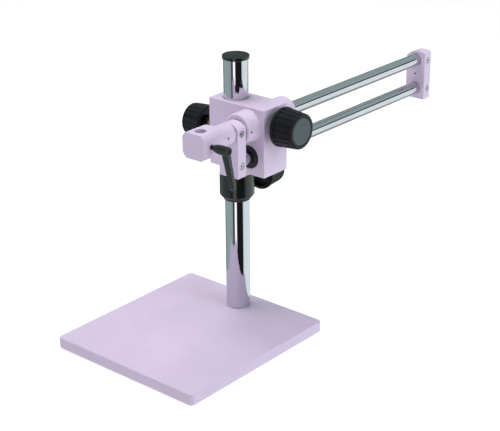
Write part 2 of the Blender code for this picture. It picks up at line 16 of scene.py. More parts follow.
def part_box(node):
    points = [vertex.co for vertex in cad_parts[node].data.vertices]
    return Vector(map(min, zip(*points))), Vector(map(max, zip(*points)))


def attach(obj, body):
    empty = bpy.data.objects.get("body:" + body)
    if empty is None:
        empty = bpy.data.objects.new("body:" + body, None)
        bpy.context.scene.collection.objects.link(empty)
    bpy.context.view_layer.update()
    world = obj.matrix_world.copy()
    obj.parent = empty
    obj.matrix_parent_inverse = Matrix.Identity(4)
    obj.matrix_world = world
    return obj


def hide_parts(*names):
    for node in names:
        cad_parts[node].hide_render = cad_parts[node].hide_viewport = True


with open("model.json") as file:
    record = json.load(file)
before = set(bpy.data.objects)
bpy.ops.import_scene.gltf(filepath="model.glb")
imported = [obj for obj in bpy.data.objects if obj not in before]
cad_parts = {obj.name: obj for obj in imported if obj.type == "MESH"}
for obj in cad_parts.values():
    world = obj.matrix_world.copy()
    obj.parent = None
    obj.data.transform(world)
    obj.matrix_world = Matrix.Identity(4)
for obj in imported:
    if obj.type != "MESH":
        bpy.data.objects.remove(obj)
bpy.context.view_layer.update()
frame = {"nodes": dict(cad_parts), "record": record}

MM = 0.001
X, Y, Z = Vector((1, 0, 0)), Vector((0, 1, 0)), Vector((0, 0, 1))


def middle(node):
    """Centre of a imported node's box."""
    low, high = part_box(node)
    return (Vector(low) + Vector(high)) / 2


def extent(node):
    """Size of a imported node's box."""
    low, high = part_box(node)
    return Vector(high) - Vector(low)


COLUMN = middle("column_tube")
COLUMN_FOOT = Vector((COLUMN.x, COLUMN.y, 0))
UPPER = middle("upper_rod")
LOWER = middle("lower_rod")
ROD_RADIUS = extent("upper_rod").x / 2
COLUMN_RADIUS = extent("column_tube").x / 2

# Camera: the photograph's direction, with its aim measured from the column's axis
AZIMUTH = math.radians(40.54)
ELEVATION = math.radians(22.94)
ROLL = math.radians(-0.44)
AIM_HEIGHT = 222 * MM
DISTANCE = 1965.99 * MM
AIM_RIGHT = 18.46 * MM
AIM_UP = -55.18 * MM
LENS = 99.14                # mm, on a sensor 36 mm wide

SIDES = 96                  # sides of a large round piece
SMOOTH_SIDES = 128          # sides of the column, the collar and the bosses
SMALL_SIDES = 64            # sides of a foot, a counterbore and the lever's hub
FINE = 48                   # sides of a screw or a stud
COARSE = 32                 # sides of a hole of 3 mm

CLEARANCE = 0.3 * MM        # gap round a rod, the column and a foot
STUD_HOLE = 5.3 * MM        # radius of the plain hole round a lock's stud
GRUB_HOLE = 1.75 * MM
GRUB_RADIUS = 1.5 * MM
GRUB_KEY = 0.85 * MM        # centre to corner of its hexagon socket
PAST = 5 * MM               # how far a cutter reaches out of the face it opens


# ---------------------------------------------------------------- materials

class Paintbox:
    """A Principled material and short ways to add nodes to it."""

    def __init__(self, name, colour, roughness, metallic=0.0, **sockets):
        self.material = bpy.data.materials.new(name)
        self.material.use_nodes = True
        self.tree = self.material.node_tree
        self.shader = self.tree.nodes["Principled BSDF"]
        self.shader.inputs["Base Color"].default_value = (*colour, 1)
        self.shader.inputs["Roughness"].default_value = roughness
        self.shader.inputs["Metallic"].default_value = metallic
        for socket, value in sockets.items():
            self.shader.inputs[socket.replace("_", " ")].default_value = value
        self.place = self.node("TexCoord").outputs["Object"]
        self.normal = None

    def node(self, kind, **values):
        node = self.tree.nodes.new("ShaderNode" + kind)
        for key, value in values.items():
            if hasattr(node, key):
                setattr(node, key, value)
            else:
                node.inputs[key.replace("_", " ")].default_value = value
        return node

    def link(self, source, target):
        self.tree.links.new(source, target)

    def math(self, operation, first, second=None):
        node = self.node("Math", operation=operation)
        for socket, value in zip(node.inputs, (first, second)):
            if isinstance(value, bpy.types.NodeSocket):
                self.link(value, socket)
            elif value is not None:
                socket.default_value = value
        return node.outputs[0]

    def noise(self, scale, detail=3.0, roughness=0.5, stretch=None):
        """Noise over the surface; stretch scales the three directions."""
        node = self.node("TexNoise", Scale=scale, Detail=detail, Roughness=roughness)
        place = self.place
        if stretch:
            mapping = self.node("Mapping")
            mapping.inputs["Scale"].default_value = stretch
            self.link(place, mapping.inputs["Vector"])
            place = mapping.outputs[0]
        self.link(place, node.inputs["Vector"])
        return node.outputs["Fac"]

    def lathe(self, scale, detail=2.0):
        """Noise that runs round the piece's own Z axis, like turning marks."""
        parts = self.node("SeparateXYZ")
        self.link(self.place, parts.inputs[0])
        across = self.math("ADD", self.math("POWER", parts.outputs[0], 2.0),
                           self.math("POWER", parts.outputs[1], 2.0))
        mark = self.math("ADD", self.math("SQRT", across), parts.outputs[2])
        node = self.node("TexNoise", noise_dimensions="1D", Scale=scale, Detail=detail)
        self.link(mark, node.inputs["W"])
        return node.outputs["Fac"]

    def spread(self, factor, low, high):
        """Map a noise, which lies mostly between 0.3 and 0.7, onto a range."""
        node = self.node("MapRange")
        for key, value in (("From Min", 0.3), ("From Max", 0.7), ("To Min", low), ("To Max", high)):
            node.inputs[key].default_value = value
        self.link(factor, node.inputs["Value"])
        return node.outputs[0]

    def tint(self, factor, *stops):
        """Base colour along a noise; each stop is (place, colour)."""
        ramp = self.node("ValToRGB")
        elements = ramp.color_ramp.elements
        while len(elements) < len(stops):
            elements.new(0.5)
        for element, (place, colour) in zip(elements, stops):
            element.position = place
            element.color = (*colour, 1)
        self.link(factor, ramp.inputs[0])
        self.link(ramp.outputs[0], self.shader.inputs["Base Color"])

    def rough(self, factor, low, high):
        self.link(self.spread(factor, low, high), self.shader.inputs["Roughness"])

    def bump(self, factor, height):
        """Add relief of a height in metres."""
        node = self.node("Bump", Strength=1.0, Distance=height)
        self.link(factor, node.inputs["Height"])
        if self.normal:
            self.link(self.normal, node.inputs["Normal"])
        self.normal = node.outputs[0]
        self.link(self.normal, self.shader.inputs["Normal"])


def shade(colour, factor):
    return tuple(channel * factor for channel in colour)


def lilac_paint():
    """Sprayed enamel: slight orange peel under a soft clear gloss, a little uneven in tone."""
    colour = (0.650, 0.538, 0.705)
    box = Paintbox("lilac_paint", colour, 0.38, Coat_Weight=0.25, Coat_Roughness=0.16,
                   Specular_IOR_Level=0.36)
    box.tint(box.noise(14, 4), (0.35, shade(colour, 0.965)), (0.65, shade(colour, 1.03)))
    box.rough(box.noise(160, 3), 0.32, 0.44)
    box.bump(box.noise(700, 2), 0.012 * MM)
    box.bump(box.noise(3600, 2), 0.003 * MM)
    return box.material


def chrome():
    """Hard chrome on ground bar: faint grinding rings under the plating."""
    box = Paintbox("chrome", (0.60, 0.598, 0.64), 0.05, 1.0)
    box.tint(box.noise(30, 3), (0.3, (0.585, 0.585, 0.625)), (0.7, (0.62, 0.618, 0.66)))
    box.rough(box.lathe(900, 3), 0.03, 0.075)
    box.bump(box.lathe(2600), 0.0004 * MM)
    return box.material


def black_enamel():
    """Satin black on turned steel."""
    colour = (0.005, 0.0055, 0.006)
    box = Paintbox("black_enamel", colour, 0.22, Specular_IOR_Level=0.55)
    box.tint(box.noise(45, 4), (0.3, shade(colour, 0.8)), (0.7, shade(colour, 1.3)))
    box.rough(box.noise(260, 3), 0.17, 0.25)
    box.bump(box.lathe(1500), 0.001 * MM)
    box.bump(box.noise(1200, 2), 0.001 * MM)
    return box.material


def black_plastic(name, low, high, shine):
    """Black moulding or blackened steel with a fine texture."""
    colour = (0.005, 0.0055, 0.007)
    box = Paintbox(name, colour, (low + high) / 2, Specular_IOR_Level=shine)
    box.tint(box.noise(60, 4), (0.3, shade(colour, 0.82)), (0.7, shade(colour, 1.25)))
    box.rough(box.noise(420, 4), low, high)
    box.bump(box.noise(5200, 3), 0.010 * MM)
    return box.material


def grey_disc():
    """Dark grey inlay with fine concentric marks."""
    colour = (0.050, 0.066, 0.077)
    box = Paintbox("grey_disc", colour, 0.5)
    box.tint(box.lathe(1400, 3), (0.35, shade(colour, 0.93)), (0.65, shade(colour, 1.07)))
    box.rough(box.lathe(2600), 0.42, 0.56)
    box.bump(box.lathe(3200), 0.003 * MM)
    return box.material


def rubber(name, low, high):
    """Matt black rubber with a fine grain."""
    colour = (0.013, 0.013, 0.015)
    box = Paintbox(name, colour, high)
    box.tint(box.noise(120, 4), (0.3, shade(colour, 0.8)), (0.7, shade(colour, 1.5)))
    box.rough(box.noise(500, 3), low, high)
    box.bump(box.noise(2600, 4), 0.02 * MM)
    return box.material


def turned_metal(name, colour, low, high, marks):
    """Bright turned metal; marks is the depth of its turning marks in millimetres."""
    box = Paintbox(name, colour, low, 1.0)
    box.tint(box.noise(220, 4), (0.3, shade(colour, 0.86)), (0.7, shade(colour, 1.1)))
    box.rough(box.lathe(2400, 3), low, high)
    box.bump(box.lathe(4200), marks * MM)
    return box.material


def nylon():
    """Tinted nylon, slightly translucent looking and waxy."""
    colour = (0.58, 0.50, 0.62)
    box = Paintbox("nylon", colour, 0.5, Subsurface_Weight=0.15, Subsurface_Scale=0.002)
    box.tint(box.noise(90, 4), (0.3, shade(colour, 0.93)), (0.7, shade(colour, 1.05)))
    box.rough(box.noise(300, 3), 0.42, 0.58)
    box.bump(box.lathe(1800), 0.004 * MM)
    return box.material


FINISH = {
    "lilac_paint": lilac_paint(),
    "chrome": chrome(),
    "black_enamel": black_enamel(),
    "black_plastic": black_plastic("black_plastic", 0.26, 0.36, 0.24),
    "lever_plastic": black_plastic("lever_plastic", 0.20, 0.32, 0.6),
    "grey_disc": grey_disc(),
    "foot_rubber": rubber("foot_rubber", 0.6, 0.8),
    "seal_rubber": rubber("seal_rubber", 0.38, 0.55),
    "steel": turned_metal("steel", (0.66, 0.66, 0.67), 0.26, 0.40, 0.003),
    "black_steel": black_plastic("black_steel", 0.30, 0.44, 0.4),
    "brass": turned_metal("brass", (0.46, 0.36, 0.18), 0.20, 0.34, 0.003),
    "bronze": turned_metal("bronze", (0.36, 0.25, 0.14), 0.34, 0.50, 0.006),
    "nylon": nylon(),
}


# ---------------------------------------------------------------- shapes

def soften(points, steps=5):
    """Round the corners of an outline; a point is (a, b) or (a, b, radius)."""
    result = []
    for k, (a, b, *rest) in enumerate(points):
        here = Vector((a, b))
        if not rest or not rest[0]:
            result.append((a, b))
            continue
        before = (Vector(points[k - 1][:2]) - here).normalized()
        after = (Vector(points[(k + 1) % len(points)][:2]) - here).normalized()
        half = before.angle(after) / 2
        centre = here + (before + after).normalized() * (rest[0] / math.sin(half))
        start = here + before * (rest[0] / math.tan(half)) - centre
        turn = (math.pi - 2 * half) * math.copysign(1, before.cross(after)) * -1
        for step in range(steps + 1):
            angle = turn * step / steps
            c, s = math.cos(angle), math.sin(angle)
            result.append((centre.x + c * start.x - s * start.y,
                           centre.y + s * start.x + c * start.y))
    return result


def spin(profile, sides=SIDES, shape=None, bm=None, place=None):
    """Turn a closed profile of (radius, height) about Z.

    shape(angle, radius, height) may change a radius.
    """
    bm = bm or bmesh.new()
    place = place or Matrix.Identity(4)
    rings = []
    for radius, height in profile:
        ring = []
        for k in range(sides if radius > 1e-7 else 1):
            angle = 2 * math.pi * k / sides
            r = shape(angle, radius, height) if shape and radius > 1e-7 else radius
            point = Vector((r * math.cos(angle), r * math.sin(angle), height))
            ring.append(bm.verts.new(place @ point))
        rings.append(ring)
    for one, two in zip(rings, rings[1:] + rings[:1]):
        if len(one) == 1 and len(two) == 1:
            continue
        for k in range(sides):
            corners = [one[k % len(one)], one[(k + 1) % len(one)],
                       two[(k + 1) % len(two)], two[k % len(two)]]
            bm.faces.new(list(dict.fromkeys(corners)))
    return bm


def along(axis, start):
    """Matrix that carries +Z at the origin to an axis at a start point."""
    return Matrix.Translation(start) @ Z.rotation_difference(axis).to_matrix().to_4x4()


def rod_shape(radius, low, high):
    """Profile of a plain solid bar."""
    return [(0, low), (radius, low), (radius, high), (0, high)]


def hole(bm, radius, low, high, axis, start, chamfer=0.0, sides=SIDES):
    """Add a cutter for a round hole from low to high; a chamfer widens both mouths."""
    profile = rod_shape(radius, low, high)
    if chamfer:
        reach = 2 * chamfer
        mouth = radius + chamfer + reach
        profile = [(0, low - reach), (mouth, low - reach), (radius, low + chamfer),
                   (radius, high - chamfer), (mouth, high + reach), (0, high + reach)]
    return spin(profile, sides, None, bm, along(axis, start))


def shrink(outline, distance):
    """Move an outline, given counter-clockwise, inwards by a distance."""
    result = []
    count = len(outline)
    for k in range(count):
        here = Vector(outline[k])
        one = (here - Vector(outline[k - 1])).normalized()
        two = (Vector(outline[(k + 1) % count]) - here).normalized()
        normal = Vector((-one.y, one.x)) + Vector((-two.y, two.x))
        normal.normalize()
        scale = distance / max(0.3, normal.dot(Vector((-one.y, one.x))))
        result.append((here.x + normal.x * scale, here.y + normal.y * scale))
    return result


def slab(outline, depth, edge, place, steps=5, low_edge=None):
    """Extrude a counter-clockwise outline along Z, with both edges rounded."""
    low_edge = edge if low_edge is None else low_edge
    bm = bmesh.new()
    levels = []
    for k in range(steps + 1):
        angle = math.pi / 2 * k / steps
        levels.append((low_edge * (1 - math.sin(angle)), low_edge * (1 - math.cos(angle))))
    for k in range(steps + 1):
        angle = math.pi / 2 * k / steps
        levels.append((edge * (1 - math.cos(angle)), depth - edge * (1 - math.sin(angle))))
    rings = []
    for inset, height in levels:
        points = shrink(outline, inset)
        rings.append([bm.verts.new(place @ Vector((a, b, height))) for a, b in points])
    join_rings(bm, rings)
    return bm


def join_rings(bm, rings):
    """Skin rings of equal length and close both ends."""
    for one, two in zip(rings, rings[1:]):
        for k in range(len(one)):
            bm.faces.new([one[k], one[(k + 1) % len(one)], two[(k + 1) % len(one)], two[k]])
    bm.faces.new(rings[0])
    bm.faces.new(rings[-1])


def loose(bm, name):
    """A working object outside the finished model."""
    bmesh.ops.recalc_face_normals(bm, faces=bm.faces)
    mesh = bpy.data.meshes.new(name)
    bm.to_mesh(mesh)
    bm.free()
    obj = bpy.data.objects.new(name, mesh)
    bpy.context.scene.collection.objects.link(obj)
    return obj


def settle(obj, *others):
    """Bmesh of a working object with its modifiers applied; the working objects are removed."""
    result = bmesh.new()
    result.from_object(obj, bpy.context.evaluated_depsgraph_get())
    for used in (obj, *others):
        mesh = used.data
        bpy.data.objects.remove(used)
        bpy.data.meshes.remove(mesh)
    return result


def carve(bm, tool, operation="DIFFERENCE"):
    """Exact Boolean of two bmeshes."""
    body = loose(bm, "carve_body")
    cutter = loose(tool, "carve_tool")
    modifier = body.modifiers.new("carve", "BOOLEAN")
    modifier.solver = "EXACT"
    modifier.use_self = True
    modifier.operation = operation
    modifier.object = cutter
    return settle(body, cutter)


def melt(bm, voxel, passes):
    """Fuse overlapping bodies into one skin with softened inner corners."""
    body = loose(bm, "melt_body")
    remesh = body.modifiers.new("remesh", "REMESH")
    remesh.mode = "VOXEL"
    remesh.voxel_size = voxel
    smooth = body.modifiers.new("smooth", "SMOOTH")
    smooth.factor = 0.5
    smooth.iterations = passes
    return settle(body)


def piece(name, bm, slot, body, nodes, place=None, sharp=32):
    """Finish a piece: mesh, place, material, and what it rides on and stands for."""
    bmesh.ops.remove_doubles(bm, verts=bm.verts, dist=1e-6)
    bmesh.ops.recalc_face_normals(bm, faces=bm.faces)
    mesh = bpy.data.meshes.new(name)
    bm.to_mesh(mesh)
    bm.free()
    mesh.shade_smooth()
    mesh.set_sharp_from_angle(angle=math.radians(sharp))
    mesh.materials.append(FINISH[slot])
    obj = bpy.data.objects.new(name, mesh)
    bpy.context.scene.collection.objects.link(obj)
    obj.matrix_world = place or Matrix.Identity(4)
    normals = obj.modifiers.new("weighted_normals", "WEIGHTED_NORMAL")
    normals.keep_sharp = True
    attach(obj, body)
    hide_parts(*nodes)
    return obj


def turned(name, profile, slot, body, nodes, axis, start, sides=SIDES, shape=None):
    """A turned piece; its profile's heights run along the axis from the start point."""
    return piece(name, spin(profile, sides, shape), slot, body, nodes, along(axis, start))


def socket_shape(key):
    """Shape that turns every ring up to the key's corner radius into a hexagon."""
    def shape(angle, radius, height):
        if radius > key:
            return radius
        return radius * math.cos(math.pi / 6) / math.cos(angle % (math.pi / 3) - math.pi / 6)
    return shape


def socket_screw(name, body, node, axis, face, head, length, shank, reach, key, slot="steel"):
    """Cap screw with a hexagon socket; its head's outer face lies at face."""
    depth = 0.6 * length
    edge = 0.12 * head
    profile = [(0, -depth - 0.4 * key), (key, -depth), (key, -0.15 * MM), (1.12 * key, 0),
               (head - edge, 0), (head, -edge), (head, edge - length), (head - edge, -length),
               (shank, -length), (shank, -reach), (0, -reach)]
    turned(name, profile, slot, body, [node], axis, face, FINE, socket_shape(key))


def grub_screw(name, body, node, face, length):
    """Headless screw with a hexagon socket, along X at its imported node's middle."""
    radius, key = GRUB_RADIUS, GRUB_KEY
    centre = middle(node)
    profile = [(0, -0.5 * length - 0.4 * key), (key, -0.5 * length), (key, -0.1 * MM),
               (1.1 * key, 0), (radius - 0.2 * MM, 0), (radius, -0.25 * MM),
               (radius, 0.3 * MM - length), (radius - 0.3 * MM, -length), (0, -length)]
    turned(name, profile, "black_steel", body, [node], X, Vector((face, centre.y, centre.z)),
           FINE, socket_shape(key))


def thread_shape(outer, depth, pitch):
    """Shape of a screw thread on every ring that has the outer radius."""
    def shape(angle, radius, height):
        if radius < outer - 1e-6:
            return radius
        phase = (height / pitch - angle / (2 * math.pi)) % 1
        return outer - depth * (1 - min(1, 2.4 * min(phase, 1 - phase)))
    return shape


def thread_rows(outer, low, high, pitch):
    """Profile points close enough together to hold a thread."""
    count = max(2, round((high - low) / pitch * 8))
    return [(outer, low + (high - low) * k / count) for k in range(count + 1)]


# ---------------------------------------------------------------- stand

BASE_CORNER = 6.5 * MM
BASE_EDGE = 2 * MM
BASE_LOWER_EDGE = 0.8 * MM
FOOT_SEAT = 6.8 * MM        # height of the foot recesses' ceiling
COUNTERBORE_TOP = 12.5 * MM
COUNTERBORE_RADIUS = 11 * MM
BOLT_HOLE = 6.3 * MM
BELOW = -10 * MM            # start of every cutter that comes from under the base plate
CORNERS = ("front_left", "front_right", "rear_left", "rear_right")


def make_base():
    """Painted base plate with its foot seats and the counterbore under the column."""
    low, high = (Vector(v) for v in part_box("base_plate"))
    outline = soften([(low.x, low.y, BASE_CORNER), (high.x, low.y, BASE_CORNER),
                      (high.x, high.y, BASE_CORNER), (low.x, high.y, BASE_CORNER)], 14)
    plate = slab(outline, high.z - low.z, BASE_EDGE, Matrix.Translation(Z * low.z), 6,
                 BASE_LOWER_EDGE)
    holes = bmesh.new()
    for corner in CORNERS:
        foot = middle(f"foot_{corner}")
        hole(holes, extent(f"foot_{corner}").x / 2 + CLEARANCE, BELOW, FOOT_SEAT, Z,
             Vector((foot.x, foot.y, 0)))
    hole(holes, COUNTERBORE_RADIUS, BELOW, COUNTERBORE_TOP, Z, COLUMN_FOOT)
    hole(holes, BOLT_HOLE, BELOW, 40 * MM, Z, COLUMN_FOOT)
    piece("base", carve(plate, holes), "lilac_paint", "stand", ["base_plate"])
    for corner in CORNERS:
        make_foot(corner)


def make_foot(corner):
    """Rubber foot with a dished middle, held by a screw."""
    low, high = (Vector(v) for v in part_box(f"foot_{corner}"))
    radius = (high.x - low.x) / 2
    centre = middle(f"foot_{corner}")
    start = Vector((centre.x, centre.y, 0))
    profile = soften([(4 * MM, 0, 0.4 * MM), (radius - 0.6 * MM, 0, 0.8 * MM), (radius, high.z),
                      (2 * MM, high.z), (2 * MM, 3 * MM), (4 * MM, 3 * MM)])
    turned(f"rubber_foot_{corner}", profile, "foot_rubber", "stand", [f"foot_{corner}"],
           Z, start, SMALL_SIDES)
    socket_screw(f"screw_of_foot_{corner}", "stand", f"foot_screw_{corner}", -Z,
                 start + Z * 0.8 * MM, head=3.6 * MM, length=1.9 * MM, shank=1.7 * MM,
                 reach=12.2 * MM, key=1.5 * MM)


COLUMN_BORE = 14.5 * MM
CAP_SKIRT = 14 * MM         # depth of the cap inside the column
CAP_DOME = 0.06 * MM
WASHER_BORE = 6 * MM
WASHER_RADIUS = 10.5 * MM


def make_column():
    """Chromed column with its cap, bolt and washer."""
    low, high = (Vector(v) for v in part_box("column_tube"))
    profile = soften([(COLUMN_BORE, low.z), (COLUMN_RADIUS, low.z, 0.5 * MM),
                      (COLUMN_RADIUS, high.z, 0.5 * MM), (COLUMN_BORE, high.z)])
    turned("column", profile, "chrome", "stand", ["column_tube"], Z, COLUMN_FOOT, SMOOTH_SIDES)
    make_cap(high.z)
    bolt_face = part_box("column_bolt")[0][2]
    socket_screw("bolt_of_column", "stand", "column_bolt", -Z, COLUMN_FOOT + Z * bolt_face,
                 head=9 * MM, length=5.3 * MM, shank=5.7 * MM, reach=36.4 * MM, key=4.6 * MM)
    low, high = (Vector(v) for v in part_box("column_washer"))
    washer = soften([(WASHER_BORE, low.z), (WASHER_RADIUS, low.z, 0.3 * MM),
                     (WASHER_RADIUS, high.z), (WASHER_BORE, high.z)])
    turned("washer", washer, "steel", "stand", ["column_washer"], Z, COLUMN_FOOT)


def make_cap(column_top):
    """Almost flat cap with a skirt inside the column."""
    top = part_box("column_cap")[1][2]
    rim = extent("column_cap").x / 2
    under = column_top + CLEARANCE
    skirt = COLUMN_BORE - CLEARANCE
    dome = [(rim * 0.9 * k / 6, top - CAP_DOME * (k / 6) ** 2) for k in range(6, 0, -1)]
    cap = soften([(0, under - CAP_SKIRT), (skirt, under - CAP_SKIRT, 0.6 * MM), (skirt, under),
                  (rim, under, 0.5 * MM), (rim, top - 2 * CAP_DOME, 0.8 * MM), *dome, (0, top)])
    turned("cap", cap, "black_enamel", "stand", ["column_cap"], Z, COLUMN_FOOT)


# ---------------------------------------------------------------- locks

KNOB_LENGTH = 35.4 * MM     # of the knob that make_lock's sizes are drawn for
GRIP_LOW, GRIP_HIGH = 5.9, 32.2
GRIP_INSIDE = 23.5          # radius below which nothing is fluted
FLUTES = 20
FLUTE_DEPTH = 1.0
FLUTE_WALL = 0.045          # width of a flute's side wall, as a share of the flute's pitch
SIDES_PER_FLUTE = 24
STUD_RADIUS = 5 * MM
STUD_PITCH = 1.5 * MM


def flute(angle):
    """Depth of a square flute, from 0 on the lands to 1 at its floor."""
    phase = abs((angle * FLUTES / (2 * math.pi)) % 1 - 0.5)
    return min(1.0, max(0.0, (0.25 - phase) / FLUTE_WALL))


def make_lock(prefix, axis, body):
    """Fluted knob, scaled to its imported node's length, with its inlay disc and its stud."""
    knob = middle(f"{prefix}_lock_knob")
    size = extent(f"{prefix}_lock_knob")
    length = abs(size.dot(axis))
    face = knob - axis * length / 2
    unit = length / KNOB_LENGTH * MM

    def shape(angle, radius, height):
        fluted = GRIP_LOW * unit < height < GRIP_HIGH * unit and radius > GRIP_INSIDE * unit
        return radius - FLUTE_DEPTH * unit * flute(angle) if fluted else radius

    outer = [(26.9, 0, 0.8), (28.3, 1.2, 0.9), (28.05, 5.3, 0.35), (27.5, 5.7, 0.2)]
    grip = [(27.42 - 2.2 * k / 8, 5.95 + 26.1 * k / 8) for k in range(9)]
    nose = [(25.1, 32.4, 0.3), (24.6, 34.6, 1.3), (21.9, 35.4, 0.5), (20.2, 35.3, 0.15),
            (19.7, 34.5), (19.7, 33.8)]
    inner = [(0, 33.8), (0, 20), (6.6, 20), (6.6, 2.2), (7.0, 1.5, 0.3), (10.0, 1.5, 0.6),
             (11.2, 9, 1.2), (21.6, 9, 1.5), (23.6, 0.6, 0.4), (24.2, 0, 0.2)]
    points = [tuple(value * unit for value in point) for point in [*outer, *grip, *nose, *inner]]
    turned(f"{prefix}_knob", soften(points, 4), "black_plastic", body, [f"{prefix}_lock_knob"],
           axis, face, FLUTES * SIDES_PER_FLUTE, shape)
    disc_radius, disc_low, disc_high = 19.3 * unit, 34.1 * unit, 35.05 * unit
    disc = soften([(0, disc_low), (disc_radius, disc_low), (disc_radius, disc_high, 0.3 * MM),
                   (0, disc_high)], 3)
    turned(f"{prefix}_inlay", disc, "grey_disc", body, [f"{prefix}_knob_disc"], axis, face)
    make_stud(prefix, axis, body, face)


def make_stud(prefix, axis, body, face):
    """Threaded stud with its plain insert in the knob's hub."""
    low, high = (Vector(v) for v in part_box(f"{prefix}_lock_stud"))
    ends = sorted(((low - face).dot(axis), (high - face).dot(axis)))
    rows = thread_rows(STUD_RADIUS, ends[0] + 1 * MM, -1.1 * MM, STUD_PITCH)
    profile = [(0, ends[0]), (STUD_RADIUS - 1 * MM, ends[0]), *rows,
               (STUD_RADIUS - 0.001 * MM, -1 * MM), (6.0 * MM, -1 * MM), (6.3 * MM, -0.7 * MM),
               (6.3 * MM, ends[1]), (0, ends[1])]
    screw = thread_shape(STUD_RADIUS, STUD_PITCH / 2, STUD_PITCH)

    def shape(angle, radius, height):
        return screw(angle, radius, height) if height < -1.05 * MM else radius

    turned(f"{prefix}_stud", profile, "brass", body, [f"{prefix}_lock_stud"], axis, face,
           FINE, shape)


def make_collar():
    """Safety collar with its stepped lower end."""
    low, high = (Vector(v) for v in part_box("safety_collar"))
    radius = (high.x - low.x) / 2
    bore = COLUMN_RADIUS + CLEARANCE
    base = low.z
    profile = soften([(bore, high.z), (bore, base), (19.6 * MM, base, 0.6 * MM),
                      (20.7 * MM, base + 3.4 * MM, 0.6 * MM),
                      (22.2 * MM, base + 4.2 * MM, 0.5 * MM),
                      (radius, base + 7.6 * MM, 1.2 * MM), (radius, high.z, 0.6 * MM)])
    collar = spin(profile, SMOOTH_SIDES)
    height = middle("collar_lock_knob").z
    drill = hole(bmesh.new(), STUD_HOLE, 5 * MM, 35 * MM, Y, Z * height, 0, FINE)
    piece("collar", carve(collar, drill), "black_enamel", "collar", ["safety_collar"],
          Matrix.Translation(COLUMN_FOOT))


# ---------------------------------------------------------------- crosshead

BLOCK_HALF_DEPTH = 25 * MM
BLOCK_BOTTOM = 244.1 * MM
BLOCK_EDGE = 1.0 * MM
BOSS_RADIUS = 22.4 * MM
BOSS_EDGE = 3 * MM
BLEND = 2.5 * MM
NECK_RADIUS = 24.8 * MM
NECK_INSIDE = 6 * MM        # how far the neck's cylinder reaches into the block
SLEEVE_HOLE = 19.7 * MM
BUSH_HOLE = 14.3 * MM
BEARING_HOLE = 16.6 * MM
BUSH_RADIUS = 14 * MM
SEAL_RADIUS = 16.3 * MM


def make_crosshead():
    """Cast block with the boss of the upper rod blended into it."""
    low, high = (Vector(v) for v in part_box("crosshead"))
    size = Vector((high.x - low.x, 2 * BLOCK_HALF_DEPTH, high.z - BLOCK_BOTTOM))
    centre = Vector(((low.x + high.x) / 2, COLUMN.y, (high.z + BLOCK_BOTTOM) / 2))
    block = bmesh.new()
    bmesh.ops.create_cube(block, size=1.0)
    bmesh.ops.transform(block, verts=block.verts,
                        matrix=Matrix.Translation(centre) @ Matrix.Diagonal((*size, 1)))
    bmesh.ops.bevel(block, geom=block.edges[:], offset=BLOCK_EDGE, segments=5, profile=0.5,
                    affect="EDGES", clamp_overlap=True)
    front, rear = COLUMN.y - BLOCK_HALF_DEPTH, COLUMN.y + BLOCK_HALF_DEPTH
    bosses = make_bosses(low, high, front, rear)
    inside = BLOCK_BOTTOM + NECK_INSIDE
    neck = soften([(0, low.z), (NECK_RADIUS, low.z, 1.2 * MM), (NECK_RADIUS, inside),
                   (0, inside)])
    spin(neck, SIDES, None, bosses, Matrix.Translation(COLUMN_FOOT))
    body = carve(block, bosses, "UNION")
    body = carve(body, crosshead_holes(low, high, front, rear))
    piece("crosshead_casting", body, "lilac_paint", "crosshead_body", ["crosshead"], sharp=38)


def make_bosses(low, high, front, rear):
    """Both ends of the round boss, each flaring into the block inside the block's rounded edges."""
    bm = bmesh.new()
    top_room = high.z - BLOCK_EDGE - UPPER.z
    side_room = high.x - BLOCK_EDGE - UPPER.x
    for axis, face, end in ((-Y, front, low.y), (Y, rear, high.y)):
        length = abs(end - face)
        flare = [(BOSS_RADIUS + BLEND * (1 - math.sin(a)), BLEND * (1 - math.cos(a)) - 0.25 * MM)
                 for a in (math.pi / 2 * k / 8 for k in range(9))]
        edge = soften([(BOSS_RADIUS, length / 2), (BOSS_RADIUS, length, BOSS_EDGE), (0, length)], 6)
        profile = [(0, -8 * MM), (flare[0][0], -8 * MM), *flare, *edge]
        back = Z.rotation_difference(axis).to_matrix().inverted()
        up, side = back @ Z, back @ X

        def shape(angle, radius, height, up=up, side=side):
            direction = Vector((math.cos(angle), math.sin(angle), 0))
            for way, room in ((up, top_room), (side, side_room)):
                if direction.dot(way) > 0.1:
                    radius = min(radius, max(BOSS_RADIUS, room / direction.dot(way)))
            return radius

        spin(profile, SMOOTH_SIDES, shape, bm, along(axis, Vector((UPPER.x, face, UPPER.z))))
    return bm


def crosshead_holes(low, high, front, rear):
    """Everything bored out of the crosshead."""
    holes = bmesh.new()
    depth = rear - front
    hole(holes, SLEEVE_HOLE, low.z, high.z, Z, COLUMN_FOOT, 0.5 * MM)
    hole(holes, BUSH_HOLE, low.y, high.y, Y, Vector((UPPER.x, 0, UPPER.z)), 0.7 * MM)
    hole(holes, BEARING_HOLE, 0, depth, Y, Vector((LOWER.x, front, LOWER.z)), 0.5 * MM)
    column_stud = Vector((low.x + 15 * MM, COLUMN.y, middle("column_lock_knob").z))
    hole(holes, STUD_HOLE, -30 * MM, 0, X, column_stud, 0, FINE)
    hole(holes, STUD_HOLE, 0, 40 * MM, X, Vector((UPPER.x, COLUMN.y, UPPER.z)), 0, FINE)
    grub = middle("bush_grub_screw")
    start = Vector((UPPER.x + 12 * MM, grub.y, grub.z))
    hole(holes, GRUB_HOLE, 0, 30 * MM, X, start, 0, COARSE)
    return holes


